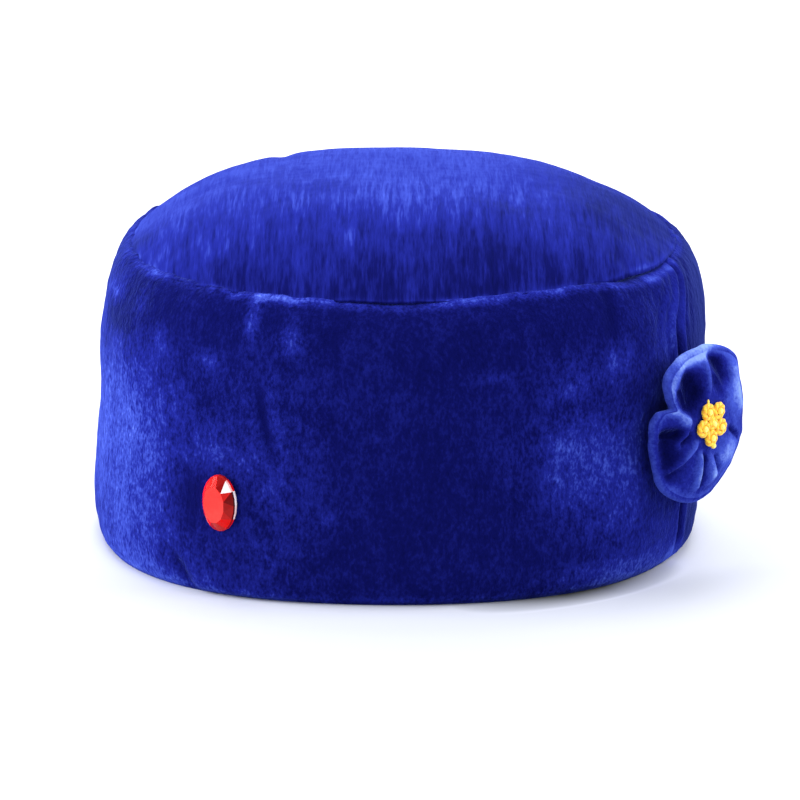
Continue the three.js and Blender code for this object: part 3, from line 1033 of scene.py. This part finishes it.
# Folds and hollows of the ruffle's face, on the rosette's own axes: rearward and up
FOLDS = [
    # from right, from up, to right, to up, half width, height
    (-2, 22.5, -12, 20.0, 2.6, 1.6),
    (-12, 20.0, -18.5, 13.5, 2.6, 2.2),
    (-18.5, 13.5, -17.5, 8.5, 2.4, 2.6),
    (-17.5, 8.5, -13.5, 3.5, 2.4, 2.8),
    (-10, 14.5, -8.5, 8.5, 4.6, -3.4),
    (-13, 11.5, -11, 7.5, 2.8, -2.6),
    (-1, 20.5, -3, 8.0, 1.3, 1.3),
    (4, 19.5, 8, 14.0, 3.2, -2.8),
    (2, 14, 3, 8.5, 2.4, -1.2),
    (14, 14.0, 15.5, 4.0, 3.6, 1.6),
    (7.5, -2.0, 13.5, -6.0, 1.0, -1.8),
    (13.5, -6.0, 16.5, -8.0, 0.9, -1.4),
    (8, -11, 14, -13, 5.5, 1.2),
    (-7.0, -9, -5.2, -20, 1.5, 1.9),
    (-4.6, -10, -2.6, -20, 1.2, -2.0),
    (-1.6, -10.5, 2.6, -17.5, 1.9, 1.5),
    (1.8, -11, 4.6, -15.5, 0.9, -1.2),
    (-8.5, -4.5, -16.5, -13.0, 1.1, 1.9),
    (-14.0, -4.0, -11.5, -2.5, 1.5, -2.0),
    (-13.0, -1.5, -15.5, -5.0, 1.1, 1.4),
    (-20.0, -1.0, -15.5, -1.0, 2.2, -3.0),
    (-19.5, -4, -17.0, -15, 3.6, -2.6),
    (-24.0, -2, -23.5, -12, 2.0, 1.3),
    (-22.5, -15, -12, -24, 2.2, 1.0),
]


def rosette_place(right, up, out):
    """A point given on the rosette's own axes."""
    right, up, out = (np.asarray(v, float)[..., None] for v in np.broadcast_arrays(right, up, out))
    return ROSETTE_CENTRE + right * REARWARD + up * UPWARD + out * OUTWARD


def stroke(right, up, row):
    """A rounded ridge along a straight line, one high at its middle."""
    x0, y0, x1, y1, wide, _ = row
    dx, dy = x1 - x0, y1 - y0
    t = np.clip(((right - x0) * dx + (up - y0) * dy) / (dx * dx + dy * dy), 0, 1)
    return bell(np.hypot(right - x0 - t * dx, up - y0 - t * dy), wide)


def fold_relief(right, up):
    """Height of the folds, in which ridges merge and hollows merge."""
    ridges = [row[5] * stroke(right, up, row) for row in FOLDS if row[5] > 0]
    hollows = [row[5] * stroke(right, up, row) for row in FOLDS if row[5] < 0]
    return np.max(ridges, axis=0) + np.min(hollows, axis=0)


def ruffle_face(angle, share, reach, lift):
    """Height of the ruffle's face, and its folds' part in it, at a share of its reach."""
    from_axis = share * reach
    right, up = from_axis * np.cos(rad(angle)), from_axis * np.sin(rad(angle))
    free = np.clip((from_axis - SEAT) / (reach - SEAT), 0, 1)
    relief = fold_relief(right, up) * smooth_step(from_axis - SEAT, *SEAT_EDGE)
    relief = relief * (1 - EDGE_LOSS * free**EDGE_LOSS_POWER)
    lumps = layered_noise(np.stack([right, up, 0 * right], -1), RUFFLE_LUMPS)
    lumps = lumps * smooth_step(free, 0, RUFFLE_LUMPS_START)
    return lift * free**DROOP_POWER + relief + lumps, relief


def rosette():
    angle = np.arange(ROSETTE_COLUMNS) * 360 / ROSETTE_COLUMNS
    reach, lift = eased_round(RUFFLE, 1, angle), eased_round(RUFFLE, 2, angle)
    rings, naps = [], []

    def ring(from_axis, out, nap):
        right, up = from_axis * np.cos(rad(angle)), from_axis * np.sin(rad(angle))
        rings.append(rosette_place(right, up, out))
        naps.append(nap + patchwork(ROSETTE_PATCHES, right, up))

    for radius, out in NECK_RINGS:
        ring(radius, out, NECK_NAP)
    shoulder = NECK_RINGS[-1][0] / reach
    roll = CLOTH / 2
    edge = 1 - roll / reach
    edge_face, _ = ruffle_face(angle, edge, reach, lift)
    for step in np.linspace(BACK_START, 1, BACK_RINGS, endpoint=False):
        share = shoulder + (edge - shoulder) * step
        under, _ = ruffle_face(angle, share, reach, lift)
        follow = np.interp(step, (0, 1), BACK_FOLLOW)
        ring(share * reach, follow * under - CLOTH, np.interp(step, (0, 1), BACK_NAP))
    # Painted highlight on the rolled edge
    for turn in rad(np.linspace(-90, 90, ROLL_RINGS)):
        out, up = roll * math.cos(turn), roll * math.sin(turn)
        ring(edge * reach + out, edge_face - roll + up, ROSETTE_NAP + ROLL_LIGHT * math.cos(turn))
    for step in np.linspace(1, 0, FACE_RINGS + 1)[1:]:
        share = FACE_MIDDLE + (edge - FACE_MIDDLE) * step
        face, relief = ruffle_face(angle, share, reach, lift)
        # Painted highlight on ridges and towards the edge, and painted shade in hollows
        light = FOLD_LIGHT * np.clip(relief, *FOLD_LIMITS)
        light = light + EDGE_LIGHT * smooth_step(step, EDGE_LIGHT_START, 1)
        ring(share * reach, face, ROSETTE_NAP + light)
    piece, _ = pole_body("rosette_velvet", rings)
    paint(piece, "nap", np.concatenate([np.ravel(naps), [NECK_NAP, MIDDLE_NAP]]))
    return piece


# The cord blossom

BLOSSOM_RIGHT = -2.0
BLOSSOM_UP = 0.6
BLOSSOM_PETALS = 5
BLOSSOM_FIRST_ANGLE = -96
BLOSSOM_RING = 4.65

# Cord of two twisted strands: its radius, sides, length of a twist and depth of its grooves, and
# its shade with the change of it between crest and groove: painted highlight and painted shade
CORD = 0.92
CORD_SIDES = 20
TWIST = 3.4
TWIST_DEPTH = 0.09
CORD_SHADE = 0.50
STRAND_SHADE = 0.16

# Coils of the petals and of the middle: radius, and for all of them the cord's height and turns
PETAL_COIL = 1.98
MIDDLE_COIL = 1.35
COIL_HEIGHT = 1.15
COIL_TURNS = 1.02
COIL_POINTS = 80

# Knots: centre and half sizes, to the right, up and out
PETAL_KNOT = ((0, 0, 1.7), (1.15, 1.1, 1.1))
MIDDLE_KNOT = ((0, 0, 1.7), (1.55, 0.95, 1.0))
MIDDLE_KNOT_TURN = -40
LOWEST_PETAL = 0
LOWEST_KNOT = ((0.6, -2.6, 1.6), (0.95, 0.9, 0.9))
PICOT_PETAL = 3
PICOT_KNOT = ((0.2, 3.2, 1.0), (0.4, 0.75, 0.4))
KNOT_ROWS = 22
KNOT_COLUMNS = 32

# Winding of the cord in a knot, the depth of its grooves, and its shades: the middle one, what the
# grooves' painted shade and the top's painted highlight change, and the painted light of the top
# point and the painted shade of the bottom one
KNOT_WRAPS = 4
GROOVE_DEPTH = 0.03
KNOT_SHADE = 0.66
WRAP_SHADE = 0.06
KNOT_TOP_HIGHLIGHT = 0.34
KNOT_END_SHADES = [0.9, 0.3]


def cord_along(path):
    """A cord of two twisted strands on a level path: points, faces and a shade for each point, which
    puts painted shade in the grooves and a painted highlight on the crests.
    """
    path = np.asarray(path, float)
    steps = np.linalg.norm(np.diff(path, axis=0), axis=1)
    length = np.concatenate([[0], np.cumsum(steps)])
    side = np.cross(np.gradient(path, axis=0), UPWARD)
    side = (side / np.linalg.norm(side, axis=1)[:, None])[:, None]
    turns = (2 * math.pi * np.arange(CORD_SIDES) / CORD_SIDES)[None, :]
    strands = np.cos(2 * (turns - 2 * math.pi * length[:, None] / TWIST))
    around = np.cos(turns)[..., None] * side + np.sin(turns)[..., None] * UPWARD
    rings = path[:, None] + (CORD * (1 - TWIST_DEPTH + TWIST_DEPTH * strands))[..., None] * around
    last = (len(path) - 1) * CORD_SIDES
    faces = ring_faces(len(path), CORD_SIDES, False)
    faces.append(list(reversed(range(CORD_SIDES))))
    faces.append([last + v for v in range(CORD_SIDES)])
    return list(rings.reshape(-1, 3)), faces, list((CORD_SHADE + STRAND_SHADE * strands).ravel())


def knot(centre, radii, turn=0.0):
    """A pearl of cord wound on itself: points, faces and a shade for each point, with painted shade
    in its grooves and below and a painted highlight on its top.
    """
    tilt = (math.pi * (np.arange(1, KNOT_ROWS) / KNOT_ROWS))[:, None]
    a = (2 * math.pi * np.arange(KNOT_COLUMNS) / KNOT_COLUMNS)[None, :]
    groove = np.cos(2 * KNOT_WRAPS * tilt + a)
    swell = 1 + GROOVE_DEPTH * groove
    x = radii[0] * np.sin(tilt) * np.cos(a) * swell
    y = radii[1] * np.sin(tilt) * np.sin(a) * swell
    z = radii[2] * np.cos(tilt) * swell
    c, s = math.cos(rad(turn)), math.sin(rad(turn))
    rings = np.stack([c * x - s * y, s * x + c * y, z], -1) + np.array(centre)
    shades = KNOT_SHADE + WRAP_SHADE * groove + KNOT_TOP_HIGHLIGHT * np.maximum(0, np.cos(tilt)) ** 2
    poles = [np.array(centre) + [0, 0, radii[2]], np.array(centre) - [0, 0, radii[2]]]
    faces = ring_faces(KNOT_ROWS - 1, KNOT_COLUMNS, False) + pole_faces(KNOT_ROWS - 1, KNOT_COLUMNS)
    faces = [list(reversed(face)) for face in faces]
    return list(rings.reshape(-1, 3)) + poles, faces, list(shades.ravel()) + KNOT_END_SHADES


def joined(parts):
    """Points, faces and shades of several parts as one."""
    points, faces, shades = [], [], []
    for part_points, part_faces, part_shades in parts:
        faces += [[v + len(points) for v in face] for face in part_faces]
        points += list(part_points)
        shades += list(part_shades)
    return np.array(points), faces, shades


def coil(radius, start):
    """Points of a level loop of cord."""
    angle = rad(start) + 2 * math.pi * COIL_TURNS * np.linspace(0, 1, COIL_POINTS)
    return np.stack([radius * np.cos(angle), radius * np.sin(angle), COIL_HEIGHT + 0 * angle], -1)


def blossom_piece(name, node, right, up, parts, material):
    """A coil and its knots as one piece, at a place of the blossom."""
    points, faces, shades = joined(parts)
    points = points + [right + BLOSSOM_RIGHT, up + BLOSSOM_UP, 0]
    piece = mesh_object(name, rosette_place(*points.T), faces)
    # The cord's shades, carried in the nap attribute, are painted shade and painted highlights
    paint(piece, "nap", shades)
    return place(piece, material, node)


def blossom():
    material = golden_cord()
    pieces = []
    for i in range(BLOSSOM_PETALS):
        angle = BLOSSOM_FIRST_ANGLE + i * 360 / BLOSSOM_PETALS
        right, up = BLOSSOM_RING * math.cos(rad(angle)), BLOSSOM_RING * math.sin(rad(angle))
        parts = [cord_along(coil(PETAL_COIL, angle + 180)), knot(*PETAL_KNOT, angle)]
        if i == LOWEST_PETAL:
            parts.append(knot(*LOWEST_KNOT))
        if i == PICOT_PETAL:
            parts.append(knot(*PICOT_KNOT))
        name, node = f"petal_cord_{i + 1}", f"cord_petal_{i + 1}"
        pieces.append(blossom_piece(name, node, right, up, parts, material))
    parts = [cord_along(coil(MIDDLE_COIL, 0)), knot(*MIDDLE_KNOT, MIDDLE_KNOT_TURN)]
    pieces.append(blossom_piece("center_cord", "cord_center", 0, 0, parts, material))
    return pieces


# The gem

GEM_WIDTH = 12.2
GEM_HEIGHT = 18.0
GEM_SIDES = 12
GEM_BEVEL = 2

# Rings of the gem's outline from its back to its table
GEM_RINGS = [
    # share of the girdle, height
    (0.97, 0.0),
    (1.00, 0.5),
    (1.00, 1.3),
    (0.97, 1.9),
    (0.64, 4.3),
]

# Shades of the gem's facets: painted reflections and glints make some pale or white and some
# lighter or darker red. From each corner of the table two facets fan out: one widens to the
# girdle, and one has its point there.
GEM_BACK_SHADE = 0.2
GEM_TABLE_SHADE = 0.75
GEM_PAINTED_REFLECTIONS = [
    # girdle, bevel, widening facet, pointed facet, anticlockwise from the wearer's left
    (1.00, 0.02, 0.12, 0.48),
    (0.55, 0.92, 1.00, 0.20),
    (0.30, 0.40, 0.24, 0.55),
    (0.40, 0.50, 0.52, 0.64),
    (0.56, 0.60, 0.62, 0.70),
    (0.60, 0.60, 0.60, 0.64),
    (0.62, 0.62, 0.62, 0.68),
    (0.68, 0.68, 0.84, 0.66),
    (0.50, 0.50, 0.42, 0.42),
    (0.46, 0.46, 0.43, 0.52),
    (0.60, 0.30, 0.54, 0.45),
    (0.97, 0.05, 0.34, 0.28),
]


def gem():
    low, high = (np.array(corner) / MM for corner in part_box("gem"))
    middle = (low + high) / 2
    corners = 2 * GEM_SIDES
    points = []
    for share, height in GEM_RINGS:
        for corner in range(corners):
            a = math.pi * corner / GEM_SIDES
            x = middle[0] + share * GEM_WIDTH / 2 * math.cos(a)
            z = middle[2] + share * GEM_HEIGHT / 2 * math.sin(a)
            points.append((x, high[1] - height, z))
    faces, shades = [list(reversed(range(corners)))], [GEM_BACK_SHADE]
    for ring in range(len(GEM_RINGS) - 2):
        for corner in range(corners):
            a, b = ring * corners + corner, ring * corners + (corner + 1) % corners
            faces.append([a, b, b + corners, a + corners])
            girdle_shade, bevel_shade, _, _ = GEM_PAINTED_REFLECTIONS[corner // 2]
            shades.append(bevel_shade if ring == GEM_BEVEL else girdle_shade)
    outer, table = (len(GEM_RINGS) - 2) * corners, (len(GEM_RINGS) - 1) * corners
    for side, (_, _, wide_shade, pointed_shade) in enumerate(GEM_PAINTED_REFLECTIONS):
        a, between, b = 2 * side, 2 * side + 1, (2 * side + 2) % corners
        after = (2 * side + 3) % corners
        faces.append([outer + a, outer + between, table + between])
        faces.append([outer + between, outer + b, table + between])
        faces.append([outer + b, table + after, table + between])
        shades += [wide_shade, wide_shade, pointed_shade]
    faces.append([table + corner for corner in range(1, corners, 2)])
    shades.append(GEM_TABLE_SHADE)
    piece = mesh_object("gem_stone", points, faces, smooth=False)
    # The facets' shades, with their painted reflections and glints, go into the nap attribute
    layer = piece.data.attributes.new("nap", "FLOAT", "FACE")
    layer.data.foreach_set("value", shades)
    return place(piece, gem_acrylic(), "gem")


# Floor, light and camera

# Half side of the floor, sky, and lights in degrees, millimetres and watts
FLOOR_REACH = 6000
SKY = (0.97, 0.98, 1, 1)
SKY_STRENGTH = 0.9
LIGHTS = [
    # name, around, above, distance, size, power
    ("left", VIEW_AROUND - 80, 22, 900, 600, 8),
    ("right", VIEW_AROUND + 80, 30, 1000, 600, 5.5),
    ("top", VIEW_AROUND + 180, 65, 1000, 900, 12),
]


def floor():
    signs = [(-1, -1), (1, -1), (1, 1), (-1, 1)]
    corners = [(x * FLOOR_REACH, y * FLOOR_REACH, 0) for x, y in signs]
    piece = mesh_object("floor", corners, [(0, 1, 2, 3)], smooth=False)
    piece.data.materials.append(floor_paint())


def aimed(name, data, around, above, distance, target):
    """A lamp or camera that looks at the target from that side of it."""
    side = Vector((*(bearing(around) * math.cos(rad(above))), math.sin(rad(above))))
    thing = bpy.data.objects.new(name, data)
    thing.location = (side * distance + target) * MM
    thing.rotation_euler = side.to_track_quat("Z", "Y").to_euler()
    bpy.context.scene.collection.objects.link(thing)
    return thing


def area_light(name, around, above, distance, size, power):
    """A square soft light aimed at the hat's middle."""
    data = bpy.data.lights.new(name, "AREA")
    data.shape = "SQUARE"
    data.size = size * MM
    data.energy = power
    aimed(name, data, around, above, distance, Vector((0, 0, SEAM_HEIGHT / 2)))


def lights():
    world = bpy.data.worlds.new("studio")
    bpy.context.scene.world = world
    world.use_nodes = True
    sky = world.node_tree.nodes["Background"]
    sky.inputs["Color"].default_value = SKY
    sky.inputs["Strength"].default_value = SKY_STRENGTH
    for row in LIGHTS:
        area_light(*row)


def camera():
    data = bpy.data.cameras.new("camera")
    data.sensor_width = SENSOR
    data.lens = PIXELS_PER_MM * CAMERA_DISTANCE / IMAGE_PIXELS * SENSOR
    data.clip_end = VIEW_END * MM
    target = Vector((*(bearing(VIEW_AROUND + 90) * CAMERA_AIM_RIGHT), CAMERA_AIM_HEIGHT))
    view = aimed("camera", data, VIEW_AROUND, VIEW_ABOVE, CAMERA_DISTANCE, target)
    bpy.context.scene.camera = view


camera()
band_cloth = velvet("band velvet", BAND_STRETCH, BAND_STRENGTHS, BAND_FLAT_SHARE)
crown_cloth = velvet("crown velvet", CROWN_STRETCH, CROWN_STRENGTHS, flat_share=1.0, turn=-LOW_SIDE)
band = place(side_band(), band_cloth, "side_band")
crown = place(crown_top(), crown_cloth, "crown_top")
rosette_cloth = velvet("rosette velvet", ROSETTE_STRETCH, ROSETTE_STRENGTHS, flat_share=1.0)
flower = place(rosette(), rosette_cloth, "rosette")
cords = blossom()
gem()
floor()
lights()
bpy.context.scene.view_settings.view_transform = "Standard"
